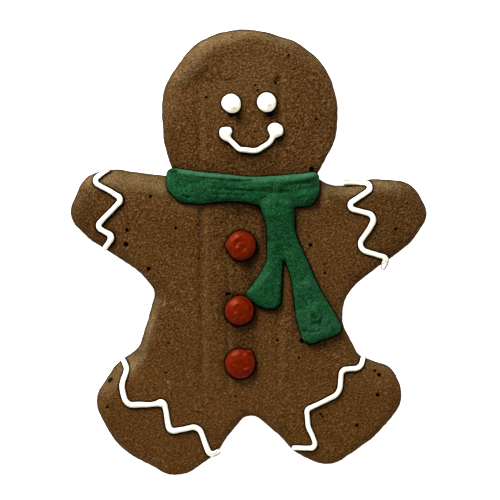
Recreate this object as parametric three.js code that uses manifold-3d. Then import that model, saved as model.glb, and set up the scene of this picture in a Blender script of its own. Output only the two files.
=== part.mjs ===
// A gingerbread man cookie with piped icing: a green scarf, red buttons, a white face and white cuffs.
// Millimetres, +Z up. The cookie lies flat with its face up and its head towards +Y, so that left and
// right are those of somebody looking down at it. The origin is on the table under its middle.

import * as THREE from "three";
import { mergeVertices } from "three/addons/utils/BufferGeometryUtils.js";
import Module from "manifold-3d";

// The cookie is 127 mm from head to foot and 101.5 mm from hand to hand, as a 5 x 4 inch cutter leaves it.
const thickness = 10;
const shoulder = 4.8; // height at which the side starts to round over into the top
const rimWidth = 4.6; // how far in from the edge the top is still rounding over
const bottomRound = 1.2; // radius of the bottom edge
const rimSteps = 5;
const arcSteps = 2; // pairs of straight pieces in each arc of the outline

// Corners of the outline, clockwise from the top of the head: x, y and the radius that rounds the corner.
const headCorners = [
  [-3, 65.1, 25],
  [13.5, 60.2, 16],
  [22.6, 53, 18],
  [26.4, 38.5, 24],
  [24, 30.5, 14],
  [19.2, 21.4, 1.4],
];
const rightArmCorners = [
  [24, 18.2, 9],
  [36, 20.9, 14],
  [47, 19.9, 8],
  [51.5, 10.3, 5.5],
  [46.2, 2.5, 16],
  [29.2, -10.2, 12],
];
const rightLegCorners = [
  [25.4, -18, 11],
  [31.4, -29.5, 3],
  [41, -33, 7],
  [45, -42, 9],
  [36.5, -52.3, 30],
  [22.8, -62, 9],
  [13, -56.8, 5.5],
  [8.6, -52, 8],
];
const crotchCorners = [[0.2, -45, 4]];
const leftLegCorners = [
  [-5.2, -51.5, 10],
  [-9.6, -57.8, 6],
  [-20, -65, 9],
  [-37, -56.2, 20],
  [-45, -42.3, 7.5],
  [-37.5, -32, 8],
  [-30.9, -27.2, 6],
  [-25.6, -12, 8],
];
const leftArmCorners = [
  [-30.5, -5.8, 16],
  [-45, 3.5, 14],
  [-51.9, 10.3, 6],
  [-46.8, 21.6, 7],
  [-38, 23, 12],
  [-21, 21.5, 1.2],
];
const templeCorners = [
  [-24.3, 32, 16],
  [-24.8, 46, 18],
  [-16.6, 58.9, 17],
];

// Icing
const gap = 0.3; // between the icing and the cookie, and between neighbouring pieces of icing
const overhangDrop = 2.5; // icing that runs over the edge hangs no lower than this under the top
const bead = { halfWidth: 0.84, height: 1.2, fullness: 0.7, bend: 1.3, spacing: 1.4, acrossSteps: 4 };
const unevenness = 0.08; // share by which a bead swells and thins along its length
const swellLength = 5.5; // distance from one swelling to the next
const scarfHeight = 2.3;
const scarfStroke = { height: scarfHeight, fullness: 0.32, spacing: 1.8, acrossSteps: 7 };

// Centre lines of the cuffs, from one edge of the limb to the other: the corners of each zigzag.
const cuffLines = {
  icing_left_hand: [
    [-39.6, 23.6],
    [-44.3, 20],
    [-35.6, 14.9],
    [-43.4, 6.9],
    [-38.7, 4.4],
    [-41.1, 0.4],
  ],
  icing_right_hand: [
    [27.2, 19.9],
    [35.9, 19.6],
    [27.9, 12.3],
    [36.3, 10.4],
    [31.2, 0.3],
    [40, -1.7],
    [38, -4.9],
  ],
  icing_left_foot: [
    [-36.3, -29.9],
    [-34.8, -33.4],
    [-36.5, -37.3],
    [-34.6, -43.4],
    [-23.6, -43.2],
    [-22.1, -51.4],
    [-14, -50],
    [-11.2, -57.3],
    [-8.4, -57.1],
  ],
  icing_right_foot: [
    [33, -29.8],
    [32.2, -33.1],
    [27, -33.2],
    [25.4, -41.2],
    [16.2, -45.3],
    [19.4, -55.8],
    [12.4, -56],
  ],
};

const eyes = {
  eye_left: { x: -4.8, y: 42.2, radius: 2.85, height: 2, lobe: { angle: 0.7, size: 0.06 } },
  eye_right: { x: 5.3, y: 42.6, radius: 2.8, height: 1.9, lobe: { angle: 2.4, size: 0.04 } },
};
const smileLine = [
  [-6.4, 33.9],
  [-2.9, 29.1],
  [3.8, 28.4],
  [7.6, 34.4],
];
const smileBend = 3.6;
const smileEnds = [
  { x: -6.5, y: 33.9, radius: 1.95, height: 1.5, lobe: { angle: 3.9, size: 0.1 } },
  { x: 7.7, y: 34.5, radius: 2.3, height: 1.6, lobe: { angle: 4, size: 0.15 } },
];
const buttons = {
  button_top: { x: -2, y: 1.7, radius: 4.2, height: 3.2, lobe: { angle: 2.9, size: 0.07 } },
  button_middle: { x: -2.8, y: -17, radius: 4.1, height: 3.1, lobe: { angle: 4.1, size: 0.04 } },
  button_bottom: { x: -2.3, y: -32.1, radius: 4.3, height: 3, lobe: { angle: 0.9, size: 0.12 } },
};
// Side view of a drop of icing, from its foot to its peak: shares of the radius and of the height.
const dropProfile = [
  [0.93, 0],
  [1, 0.25],
  [0.9, 0.56],
  [0.68, 0.78],
  [0.4, 0.89],
  [0.14, 0.95],
];
const dropSides = 24;
const lobeWidth = 0.6; // radians over which a drop bulges at its lobe

// Each band of the scarf runs through x, y and half its width.
const scarfBands = {
  neck: [
    [-23, 20.2, 3.2],
    [-20.1, 19.4, 4.6],
    [-15, 18.3, 4.7],
    [-4, 17.8, 4],
    [8, 17.5, 4.1],
    [17.6, 17.9, 4.6],
    [20.3, 18.5, 3.5],
  ],
  leftTail: [
    [8.2, 15, 5],
    [9.1, 8, 4],
    [8.9, 2, 3.7],
    [7.1, -3.8, 2.4],
    [5.5, -8.6, 3.8],
    [3.7, -15.4, 4.9],
  ],
  rightTail: [
    [8.2, 15, 5],
    [9.2, 8, 4],
    [10.6, 2, 3.5],
    [14.2, -5, 2.9],
    [17.4, -14, 4.1],
    [20.9, -25.4, 5.9],
  ],
};
const scarfEnd = 1.6; // length over which the end of a band rounds off
const knot = { x: 8, y: 15.2, radius: 4, height: 3.1, lobe: { angle: 0, size: 0.1 } };

const colours = {
  gingerbread: "#5a3b1c",
  white: "#fbf7e8",
  green: "#1d4b2a",
  red: "#7a1c08",
};

// A path of straight runs and arcs past a list of corners, with one radius for all or the corners' own.
// An inset shifts the whole path to its right-hand side, which is the inside of a clockwise outline.
function roundedPath(corners, { closed = false, radius, inset = 0 } = {}) {
  const path = new THREE.Path();
  const corner = (i) => new THREE.Vector2(...corners.at(i % corners.length));
  const bends = closed ? corners.keys() : corners.keys().drop(1).take(corners.length - 2);
  if (!closed) path.moveTo(corner(0).x, corner(0).y);
  for (const i of bends) {
    const back = corner(i - 1).sub(corner(i)).normalize();
    const ahead = corner(i + 1).sub(corner(i)).normalize();
    const bend = radius ?? corners[i][2];
    const halfAngle = Math.acos(back.dot(ahead)) / 2;
    const start = corner(i).addScaledVector(back, bend / Math.tan(halfAngle));
    const end = corner(i).addScaledVector(ahead, bend / Math.tan(halfAngle));
    const inward = back.clone().add(ahead).normalize();
    const centre = corner(i).addScaledVector(inward, bend / Math.sin(halfAngle));
    const startAngle = start.clone().sub(centre).angle();
    const endAngle = end.clone().sub(centre).angle();
    const turnsRight = ahead.cross(back) < 0;
    const arcRadius = turnsRight ? bend - inset : bend + inset;
    if (!closed) path.lineTo(start.x, start.y);
    path.absarc(centre.x, centre.y, arcRadius, startAngle, endAngle, turnsRight);
  }
  if (closed) path.closePath();
  else path.lineTo(corner(-1).x, corner(-1).y);
  return path;
}

const outlineCorners = [
  ...headCorners,
  ...rightArmCorners,
  ...rightLegCorners,
  ...crotchCorners,
  ...leftLegCorners,
  ...leftArmCorners,
  ...templeCorners,
];

// The cookie's outline, set in by a distance, as points that run counter-clockwise, each once.
function outlinePoints(inset) {
  return roundedPath(outlineCorners, { closed: true, inset }).getPoints(arcSteps).slice(1).reverse();
}

const outline = outlinePoints(0);

// How far a point lies inside the outline; negative outside it.
function distanceInside(x, y) {
  let nearest = Infinity;
  let inside = false;
  outline.forEach((a, i) => {
    const b = outline[(i + 1) % outline.length];
    const run = b.clone().sub(a);
    const share = ((x - a.x) * run.x + (y - a.y) * run.y) / run.lengthSq();
    const along = THREE.MathUtils.clamp(share, 0, 1);
    nearest = Math.min(nearest, Math.hypot(x - a.x - along * run.x, y - a.y - along * run.y));
    if (a.y > y !== b.y > y && x < a.x + (run.x * (y - a.y)) / run.y) inside = !inside;
  });
  return inside ? nearest : -nearest;
}

// Height of the cookie's surface at a distance in from its edge: a quarter ellipse up to the flat top.
function surfaceHeight(inset) {
  const share = THREE.MathUtils.clamp(1 - inset / rimWidth, 0, 1);
  return shoulder + (thickness - shoulder) * Math.sqrt(1 - share * share);
}

// Height of the underside of the icing.
function icingBed(x, y) {
  return gap + Math.max(surfaceHeight(distanceInside(x, y)), thickness - overhangDrop);
}

// A closed body skinned over rings of points, each ring counter-clockwise as seen from the last one.
// A ring of one point is a tip; any other ring at an end lies flat and is filled in.
function skin(rings) {
  const positions = rings.flat().flatMap(({ x, y, z }) => [x, y, z]);
  const firstOf = rings.map((ring, i) => rings.slice(0, i).flat().length);
  const triangles = [];
  rings.slice(1).forEach((ring, i) => {
    const below = rings[i];
    const sides = Math.max(ring.length, below.length);
    for (let k = 0; k < sides; k++) {
      const low = firstOf[i] + (k % below.length);
      const lowNext = firstOf[i] + ((k + 1) % below.length);
      const high = firstOf[i + 1] + (k % ring.length);
      const highNext = firstOf[i + 1] + ((k + 1) % ring.length);
      if (low !== lowNext) triangles.push(low, lowNext, high);
      if (high !== highNext) triangles.push(lowNext, highNext, high);
    }
  });
  const fill = (ringIndex, turn) => {
    const ring = rings[ringIndex];
    if (ring.length === 1) return;
    const flat = ring.map(({ x, y }) => new THREE.Vector2(x, y));
    for (const [a, b, c] of THREE.ShapeUtils.triangulateShape(flat, [])) {
      triangles.push(...(turn ? [a, c, b] : [a, b, c]).map((k) => k + firstOf[ringIndex]));
    }
  };
  fill(0, true);
  fill(rings.length - 1, false);
  const geometry = new THREE.BufferGeometry();
  geometry.setAttribute("position", new THREE.Float32BufferAttribute(positions, 3));
  geometry.setIndex(triangles);
  return geometry;
}

// The cookie: the outline carried up its side, round its rim and closed by a flat top.
function cookieGeometry() {
  const steps = Array.from({ length: rimSteps }, (_, k) => ((k + 1) * Math.PI) / 2 / rimSteps);
  const rim = steps.map((angle) => rimWidth * (1 - Math.cos(angle)));
  const levels = [
    [bottomRound, 0],
    [bottomRound * (1 - Math.SQRT1_2), bottomRound * (1 - Math.SQRT1_2)],
    [0, bottomRound],
    [0, shoulder],
    ...rim.map((inset) => [inset, surfaceHeight(inset)]),
  ];
  return skin(levels.map(([inset, z]) => outlinePoints(inset).map(({ x, y }) => new THREE.Vector3(x, y, z))));
}

// Distances along a stroke: evenly spaced, and closer together where the ends round off.
function stationDistances(length, spacing, endLength) {
  const ends = [0.08, 0.35, 1].map((share) => share * endLength);
  const steps = Math.max(1, Math.round((length - 2 * endLength) / spacing));
  const middle = Array.from({ length: steps - 1 }, (_, k) => k + 1).map(
    (k) => endLength + (k * (length - 2 * endLength)) / steps,
  );
  return [...ends, ...middle, ...ends.map((distance) => length - distance).reverse()];
}

// A stroke of icing laid on the cookie: half-round sections across a curve, with rounded ends.
// A fullness of 1 gives a half ellipse, and a lower one a flatter top over steeper sides.
function stroke(curve, halfWidthAt, { height, fullness, spacing, acrossSteps, endLength }) {
  const length = curve.getLength();
  const sections = stationDistances(length, spacing, endLength).map((distance) => {
    const centre = curve.getPointAt(distance / length);
    const ahead = curve.getTangentAt(distance / length);
    const left = new THREE.Vector2(-ahead.y, ahead.x).normalize();
    const intoEnd = THREE.MathUtils.clamp(Math.min(distance, length - distance) / endLength, 0, 1);
    const taper = Math.sqrt(1 - (1 - intoEnd) ** 2);
    return Array.from({ length: 2 * acrossSteps }, (_, k) => {
      const angle = (k * Math.PI) / acrossSteps;
      const across = Math.cos(angle) * halfWidthAt(distance, centre) * taper;
      const rise = height * taper * Math.max(Math.sin(angle), 0) ** fullness;
      const x = centre.x + left.x * across;
      const y = centre.y + left.y * across;
      return new THREE.Vector3(x, y, icingBed(x, y) + rise);
    });
  });
  const tip = ({ x, y }) => [new THREE.Vector3(x, y, icingBed(x, y))];
  return skin([tip(curve.getPointAt(0)), ...sections, tip(curve.getPointAt(1))]);
}

// A line piped with a round nozzle, which swells and thins a little along its length.
function beadStroke(corners, bend) {
  const halfWidth = (distance) =>
    bead.halfWidth * (1 + unevenness * Math.sin((distance / swellLength) * 2 * Math.PI));
  return stroke(roundedPath(corners, { radius: bend }), halfWidth, { ...bead, endLength: bead.halfWidth });
}

// A band of the scarf, whose control points hold half its width as their third number.
function bandStroke(points) {
  const curve = new THREE.CatmullRomCurve3(points.map((point) => new THREE.Vector3(...point)));
  return stroke(curve, (distance, centre) => centre.z, { ...scarfStroke, endLength: scarfEnd });
}

// A drop of icing with a small peak, which bulges to one side.
function drop({ x, y, radius, height, lobe }) {
  const at = (angle, reach, rise) => {
    const turn = Math.atan2(Math.sin(angle - lobe.angle), Math.cos(angle - lobe.angle));
    const bulge = 1 + lobe.size * Math.exp(-((turn / lobeWidth) ** 2));
    const distance = radius * reach * bulge;
    const px = x + distance * Math.cos(angle);
    const py = y + distance * Math.sin(angle);
    return new THREE.Vector3(px, py, icingBed(px, py) + height * rise);
  };
  const rings = dropProfile.map(([reach, rise]) =>
    Array.from({ length: dropSides }, (_, k) => at((k * 2 * Math.PI) / dropSides, reach, rise)),
  );
  return skin([...rings, [at(0, 0, 1)]]);
}

const wasm = await Module();
wasm.setup();

// Pieces that touch joined into one closed body.
function joined(geometries) {
  const solids = geometries.map((geometry) => {
    const { attributes, index } = mergeVertices(geometry);
    const triVerts = new Uint32Array(index.array);
    const vertProperties = attributes.position.array;
    return new wasm.Manifold(new wasm.Mesh({ numProp: 3, vertProperties, triVerts }));
  });
  const { numProp, vertProperties, triVerts } = solids.reduce((all, solid) => all.add(solid)).getMesh();
  const positions = new THREE.InterleavedBuffer(vertProperties, numProp);
  const geometry = new THREE.BufferGeometry();
  geometry.setAttribute("position", new THREE.InterleavedBufferAttribute(positions, 3, 0));
  geometry.setIndex(new THREE.BufferAttribute(triVerts, 1));
  return geometry;
}

function material(color, roughness) {
  return new THREE.MeshStandardMaterial({ color, roughness, metalness: 0 });
}

const gingerbread = material(colours.gingerbread, 0.9);
const whiteIcing = material(colours.white, 0.55);
const greenIcing = material(colours.green, 0.6);
const redIcing = material(colours.red, 0.45);

const gingerbreadMan = new THREE.Group();

function addPiece(name, geometry, surface) {
  const mesh = new THREE.Mesh(geometry, surface);
  mesh.name = name;
  gingerbreadMan.add(mesh);
}

addPiece("cookie", cookieGeometry(), gingerbread);
addPiece("scarf", joined([...Object.values(scarfBands).map(bandStroke), drop(knot)]), greenIcing);
addPiece("smile", joined([beadStroke(smileLine, smileBend), ...smileEnds.map(drop)]), whiteIcing);
for (const [name, eye] of Object.entries(eyes)) addPiece(name, drop(eye), whiteIcing);
for (const [name, button] of Object.entries(buttons)) addPiece(name, drop(button), redIcing);
for (const [name, line] of Object.entries(cuffLines)) {
  addPiece(name, beadStroke(line, bead.bend), whiteIcing);
}

export default gingerbreadMan;
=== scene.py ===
# A gingerbread man cookie, rolled, cut and baked, with piped royal icing: a green scarf, red buttons,
# a white face and white cuffs. Shapes are worked out in millimetres and put into the meshes in metres.
import bpy
import numpy as np
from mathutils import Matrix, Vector, geometry


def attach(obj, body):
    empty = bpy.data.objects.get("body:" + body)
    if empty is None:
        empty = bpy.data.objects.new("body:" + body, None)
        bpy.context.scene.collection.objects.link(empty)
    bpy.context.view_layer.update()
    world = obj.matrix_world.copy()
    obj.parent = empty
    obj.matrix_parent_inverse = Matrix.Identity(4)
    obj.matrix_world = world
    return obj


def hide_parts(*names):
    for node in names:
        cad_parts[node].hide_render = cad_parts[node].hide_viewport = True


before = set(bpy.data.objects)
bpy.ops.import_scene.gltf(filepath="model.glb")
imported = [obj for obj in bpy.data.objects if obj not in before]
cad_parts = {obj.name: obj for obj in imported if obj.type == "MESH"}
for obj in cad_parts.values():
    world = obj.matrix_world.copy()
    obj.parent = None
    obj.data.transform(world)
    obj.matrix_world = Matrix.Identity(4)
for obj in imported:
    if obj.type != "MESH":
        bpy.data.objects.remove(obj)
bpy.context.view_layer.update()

mm = 0.001
fullTurn = 2 * np.pi


# Colour and material helpers

def linear(hexColour):
    # sRGB to linear: a straight piece near black, then a power curve
    shares = np.array([int(hexColour[i:i + 2], 16) for i in (1, 3, 5)]) / 255
    curved = ((shares + 0.055) / 1.055) ** 2.4
    return (*np.where(shares <= 0.04045, shares / 12.92, curved).tolist(), 1)


def addNode(material, kind, settings=None, links=None):
    # one node with its settings; links go from a socket of another node to an input of this one
    node = material.node_tree.nodes.new("ShaderNode" + kind)
    for name, value in (settings or {}).items():
        if isinstance(name, int) or name in node.inputs:
            node.inputs[name].default_value = value
        else:
            setattr(node, name, value)
    for name, socket in (links or {}).items():
        material.node_tree.links.new(socket, node.inputs[name])
    return node


def addRamp(material, factor, stops):
    # a colour ramp whose stops are pairs of place and colour, in order; a new ramp comes with two
    ramp = addNode(material, "ValToRGB", links={"Fac": factor})
    for place, colour in stops[2:]:
        ramp.color_ramp.elements.new(place)
    for element, (place, colour) in zip(ramp.color_ramp.elements, stops):
        element.position = place
        element.color = linear(colour)
    return ramp.outputs["Color"]


def newMaterial(name):
    material = bpy.data.materials.new(name)
    material.use_nodes = True
    material.node_tree.nodes.clear()
    return material


# Shape helpers

def between(ends, share):
    # from the first of two ends to the second as the share goes from 0 to 1
    return ends[0] + (ends[1] - ends[0]) * share


def unevenness(x, y, height, size, seed):
    # heights either way, drawn at random at the corners of a turned lattice, with a smooth step between them
    count = 97  # cells after which the lattice repeats
    draws = np.random.default_rng(seed).uniform(-1, 1, (count, count))
    turn = 0.6 + seed  # each lattice is turned its own way
    u = (x * np.cos(turn) + y * np.sin(turn)) / size
    v = (y * np.cos(turn) - x * np.sin(turn)) / size
    i, j = np.floor(u).astype(int), np.floor(v).astype(int)
    u, v = u - i, v - j
    u, v = u * u * (3 - 2 * u), v * v * (3 - 2 * v)
    i, j, iNext, jNext = i % count, j % count, (i + 1) % count, (j + 1) % count
    near = draws[i, j] * (1 - u) + draws[iNext, j] * u
    far = draws[i, jNext] * (1 - u) + draws[iNext, jNext] * u
    return height * (near * (1 - v) + far * v)


def roundedPath(corners, step, closed=False):
    # straight runs past a list of corners x, y, radius, each corner cut off by an arc of its radius;
    # gives points about a step apart, and the direction of travel at each
    corners = np.array([(*corner, 0)[:3] for corner in corners], float)
    count = len(corners)
    spots, headings = [], []
    for i in range(count) if closed else range(1, count - 1):
        spot, radius = corners[i, :2], corners[i, 2]
        back, ahead = corners[i - 1, :2] - spot, corners[(i + 1) % count, :2] - spot
        back, ahead = back / np.linalg.norm(back), ahead / np.linalg.norm(ahead)
        side = np.sign(ahead[0] * back[1] - ahead[1] * back[0])  # 1 where the path turns left
        halfAngle = np.arccos(back @ ahead) / 2
        middle = (back + ahead) / np.linalg.norm(back + ahead)
        centre = spot + middle * radius / np.sin(halfAngle)
        sweep = np.pi - 2 * halfAngle
        pieces = max(2, int(np.ceil(radius * sweep / step)))
        turns = np.arctan2(-back[1], -back[0]) + side * np.linspace(0, sweep, pieces + 1)
        spots.append(centre + side * radius * np.column_stack([np.sin(turns), -np.cos(turns)]))
        headings.append(turns)
    if not closed:
        firstTurn, lastTurn = headings[0][:1], headings[-1][-1:]
        spots = [corners[:1, :2], *spots, corners[-1:, :2]]
        headings = [firstTurn, *headings, lastTurn]
    runs = []
    for k in range(len(spots) if closed else len(spots) - 1):
        start, end = spots[k][-1], spots[(k + 1) % len(spots)][0]
        pieces = max(1, int(round(np.linalg.norm(end - start) / step)))
        shares = np.arange(1, pieces)[:, None] / pieces
        runs.append((start + shares * (end - start), np.full(pieces - 1, headings[k][-1])))
    runs += [(np.empty((0, 2)), np.empty(0))] * (len(spots) - len(runs))
    path = np.concatenate([part for k in range(len(spots)) for part in (spots[k], runs[k][0])])
    turns = np.concatenate([part for k in range(len(spots)) for part in (headings[k], runs[k][1])])
    before = np.linalg.norm(path - np.roll(path, 1, axis=0), axis=1)
    kept = before > 0.3 * step  # drops a point that almost meets the one before
    return path[kept], turns[kept]


def edgeField(edge, outward, cell=0.5, margin=9):
    # reads at any place the distance in from a closed edge, negative outside it, and the way out;
    # both are worked out on a grid, from the nearest point of the edge, and blended between its nodes
    low = edge.min(0) - margin
    across, along = np.ceil((edge.max(0) + margin - low) / cell).astype(int) + 1
    columns, rows = np.meshgrid(np.arange(across), np.arange(along), indexing="ij")
    grid = low + cell * np.column_stack([columns.ravel(), rows.ravel()])
    parts = np.array_split(grid, len(grid) // 1500 + 1)  # few enough points at a time for the memory
    nearest = np.concatenate([((part[:, None] - edge) ** 2).sum(-1).argmin(1) for part in parts])
    away = grid - edge[nearest]
    out = (away * outward[nearest]).sum(1)
    distance = np.linalg.norm(away, axis=1)
    depth = np.where(distance < 1, -out, -np.sign(out) * distance)  # the way out is smoother close by
    values = np.column_stack([depth, outward[nearest]]).reshape(across, along, 3)

    def read(x, y):
        u = np.clip((x - low[0]) / cell, 0, across - 1.001)
        v = np.clip((y - low[1]) / cell, 0, along - 1.001)
        i, j = u.astype(int), v.astype(int)
        u, v = (u - i)[..., None], (v - j)[..., None]
        near = values[i, j] * (1 - u) + values[i + 1, j] * u
        far = values[i, j + 1] * (1 - u) + values[i + 1, j + 1] * u
        return near * (1 - v) + far * v

    return read


def crumbPoints(edge, spacing, seed, stray=0.12):
    # a triangular lattice of points over an edge's box, each moved at random by up to a share of the spacing
    low, high = edge.min(0), edge.max(0)
    rowStep = spacing * np.sqrt(0.75)
    across, along = np.ceil((high - low) / (spacing, rowStep)).astype(int)
    columns, rows = np.meshgrid(np.arange(across), np.arange(along))
    x = low[0] + spacing * (columns + rows % 2 / 2)
    y = low[1] + rowStep * rows
    moves = np.random.default_rng(seed).uniform(-stray, stray, (2, *x.shape)) * spacing
    return np.column_stack([(x + moves[0]).ravel(), (y + moves[1]).ravel()])


def fillInside(edge, inner):
    # Delaunay triangles over the points of an edge and the points inside it
    spots = [Vector(spot) for spot in np.concatenate([edge, inner]).tolist()]
    insideOnly, sameSpot = 1, 1e-6  # the kind of result, and how near two points are the same
    found = geometry.delaunay_2d_cdt(spots, [], [list(range(len(edge)))], insideOnly, sameSpot)
    original = np.array([sources[0] for sources in found[3]])
    return original[np.array(found[2])]


def ringTriangles(rings, around):
    # two triangles for each cell between rings of points that close on themselves
    ring, place = np.meshgrid(np.arange(rings - 1), np.arange(around), indexing="ij")
    a = (ring * around + place).ravel()
    b = (ring * around + (place + 1) % around).ravel()
    return np.concatenate([np.column_stack([a, b, b + around]), np.column_stack([a, b + around, a + around])])


def fanTriangles(tip, first, around, turned=False):
    # a ring of points joined to one point
    a = first + np.arange(around)
    b = first + (np.arange(around) + 1) % around
    fan = np.column_stack([a, b, np.full(around, tip)])
    return fan[:, ::-1] if turned else fan


def closedSkin(rings, firstTip, lastTip):
    # rings of points with a tip at either end, as one closed surface
    count, around = rings.shape[:2]
    vertices = np.concatenate([rings.reshape(-1, 3), [firstTip, lastTip]])
    triangles = [
        ringTriangles(count, around),
        fanTriangles(count * around, 0, around, turned=True),
        fanTriangles(count * around + 1, (count - 1) * around, around),
    ]
    return vertices, np.concatenate(triangles)


def coveredSkin(rings, face, under):
    # rings of points round a side, closed by triangles over the points of a face and of an underside
    count, around = rings.shape[:2]
    faceTriangles = fillInside(rings[-1, :, :2], face[:, :2]) + (count - 1) * around
    underTriangles = fillInside(rings[0, :, :2], under[:, :2])[:, ::-1]
    firstUnder = (count - 1) * around + len(face)
    underTriangles = np.where(underTriangles < around, underTriangles, underTriangles + firstUnder)
    vertices = np.concatenate([rings.reshape(-1, 3), face, under])
    return vertices, np.concatenate([ringTriangles(count, around), faceTriangles, underTriangles])


def turnFrom(turn, degrees):
    # how far a turn is from an angle in degrees, the short way round
    return np.angle(np.exp(1j * (turn - np.radians(degrees))))


def markRelief(x, y, bumps, arcs=()):
    # bumps and pits: x, y, angle, reach along it and across it, height; and arcs: the centre's x and y,
    # radius, half width, height, and the direction from the centre and the half angle where they show
    relief = 0 * x
    for spotX, spotY, angle, along, across, height in bumps:
        cosine, sine = np.cos(np.radians(angle)), np.sin(np.radians(angle))
        u = ((x - spotX) * cosine + (y - spotY) * sine) / along
        v = ((y - spotY) * cosine - (x - spotX) * sine) / across
        relief = relief + height * np.exp(-u ** 2 - v ** 2)
    for spotX, spotY, radius, halfWidth, height, towards, halfAngle in arcs:
        fromX, fromY = x - spotX, y - spotY
        turned = turnFrom(np.arctan2(fromY, fromX), towards) / np.radians(halfAngle)
        relief = relief + height * np.exp(-((np.hypot(fromX, fromY) - radius) / halfWidth) ** 2 - turned ** 4)
    return relief


def patchShare(x, y, patches):
    # the sum of an upright bell curve over each patch: x, y, reach across and along, strength
    return markRelief(x, y, [(*patch[:2], 0, *patch[2:]) for patch in patches])


# Materials. A colour Mix node's share is input 0, its colours are 6 and 7, and its colour comes out at 2.

multiplied = {"data_type": "RGBA", "blend_type": "MULTIPLY", 0: 1}

dough = {
    "rollingAzimuth": 36,  # the way that rolling drew out its crumb
    "stretch": 1.9,  # how much longer than wide that left it
    # sizes of its grain and pits, and of patches and clouds of a little more browning
    "grain": 0.37,
    "pits": 0.34,
    "patches": 1.7,
    "clouds": 11,
    "pitDepth": 1.1,  # of the deepest, far deeper than most
    "crust": [(0.33, "#281300"), (0.45, "#4a2c0b"), (0.55, "#5a3c1a"), (0.69, "#7c6346")],
    # painted light on the rim that faces the lamp, and pale patches and flecks
    "paleDough": [(0.1, "#5c4a2f"), (0.5, "#937750")],
    "paleGrain": [(0.36, "#968f84"), (0.62, "#ffffff")],
    "lessBaked": "#4c3b24",  # what paler browning and painted light add
    "patchShade": "#f4f3f0",
    "cloudShade": "#f2f1ee",
    # painted contact shade with some moisture: the dark line and fainter halo round the icing
    "damp": "#070200",
    # painted shade in the pores' holes
    "pore": "#050200",
}


def bakedGingerbread():
    # Rolled gingerbread dough, baked: a dry brown crust of fine pressed crumb, with hardly any shine.
    # The eye sees fine grain drawn out along the rolling direction, a little coarser towards the head,
    # holes darkened with painted shade, a thin dark line beside the icing that is painted contact shade with
    # some moisture, widened by painted shadow to the lower right, painted light on the smoother rim that
    # faces the lamp, and painted shadows and light in patches and beside the creases. The grain is drawn
    # coarser than real crumb so that it still shows.
    material = newMaterial("baked_gingerbread")
    place = addNode(material, "TexCoord").outputs["Object"]
    rolled = addNode(
        material, "Mapping",
        {
            "vector_type": "TEXTURE", "Rotation": (0, 0, np.radians(dough["rollingAzimuth"])),
            "Scale": (dough["stretch"], 1, 1),
        },
        {"Vector": place},
    ).outputs["Vector"]
    noise = {
        name: addNode(
            material, "TexNoise", {"Scale": 1 / (dough[name] * mm), "Detail": detail, "Roughness": roughness},
            {"Vector": vector},
        ).outputs["Fac"]
        for name, detail, roughness, vector in (
            ("grain", 3, 0.65, rolled), ("pits", 2, 0.6, rolled),
            ("patches", 3, 0.55, place), ("clouds", 1, 0.5, place),
        )
    }
    baking = {
        name: addNode(material, "Attribute", {"attribute_name": name}).outputs["Fac"]
        for name in ("coarseness", "paleness", "browned", "bleached", "damp", "pore")
    }
    # the coarser the crumb, the further the grain's lightness and the pits' depth go from their middle
    for name in ("grain", "pits"):
        noise[name] = addNode(
            material, "Mix", {"data_type": "FLOAT", "clamp_factor": False, 2: 0.5},
            {0: baking["coarseness"], 3: noise[name]},
        ).outputs[0]
    crust = addRamp(material, noise["grain"], dough["crust"])
    # painted light on the rim that faces the lamp, and pale patches and flecks, with smoother grain
    paleDough = addRamp(material, baking["paleness"], dough["paleDough"])
    paleGrain = addRamp(material, noise["grain"], dough["paleGrain"])
    paleDough = addNode(material, "Mix", multiplied, {6: paleDough, 7: paleGrain}).outputs[2]
    paleShare = addNode(material, "MapRange", {"From Max": 0.5}, {"Value": baking["paleness"]}).outputs[0]
    baked = addNode(material, "Mix", {"data_type": "RGBA"}, {0: paleShare, 6: crust, 7: paleDough}).outputs[2]
    for name, darker in (("patches", dough["patchShade"]), ("clouds", dough["cloudShade"])):
        shade = addRamp(material, noise[name], [(0.34, darker), (0.66, "#ffffff")])
        baked = addNode(material, "Mix", multiplied, {6: baked, 7: shade}).outputs[2]
    # more browning and painted shade take a share of every colour; less browning and painted light add a
    # little of every colour
    added = addNode(
        material, "VectorMath", {"operation": "SCALE", 0: linear(dough["lessBaked"])[:3]},
        {"Scale": baking["bleached"]},
    ).outputs[0]
    scaling = {"operation": "SCALE"}
    baked = addNode(material, "VectorMath", scaling, {0: baked, "Scale": baking["browned"]}).outputs[0]
    baked = addNode(material, "VectorMath", {"operation": "ADD"}, {0: baked, 1: added}).outputs[0]
    # the icing's dark line and halo, painted contact shade with some moisture, then painted shade in the
    # pores
    for name in ("damp", "pore"):
        stained = {"data_type": "RGBA", 7: linear(dough[name])}
        baked = addNode(material, "Mix", stained, {0: baking[name], 6: baked}).outputs[2]
    pitted = {"Strength": 1, "Distance": dough["pitDepth"] * mm}
    bump = addNode(material, "Bump", pitted, {"Height": noise["pits"]})
    shader = addNode(
        material, "BsdfPrincipled", {"Roughness": 0.75, "IOR": 1.45, "Specular IOR Level": 0.02},
        {"Base Color": baked, "Normal": bump.outputs["Normal"]},
    )
    addNode(material, "OutputMaterial", links={"Surface": shader.outputs["BSDF"]})
    return material


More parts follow.
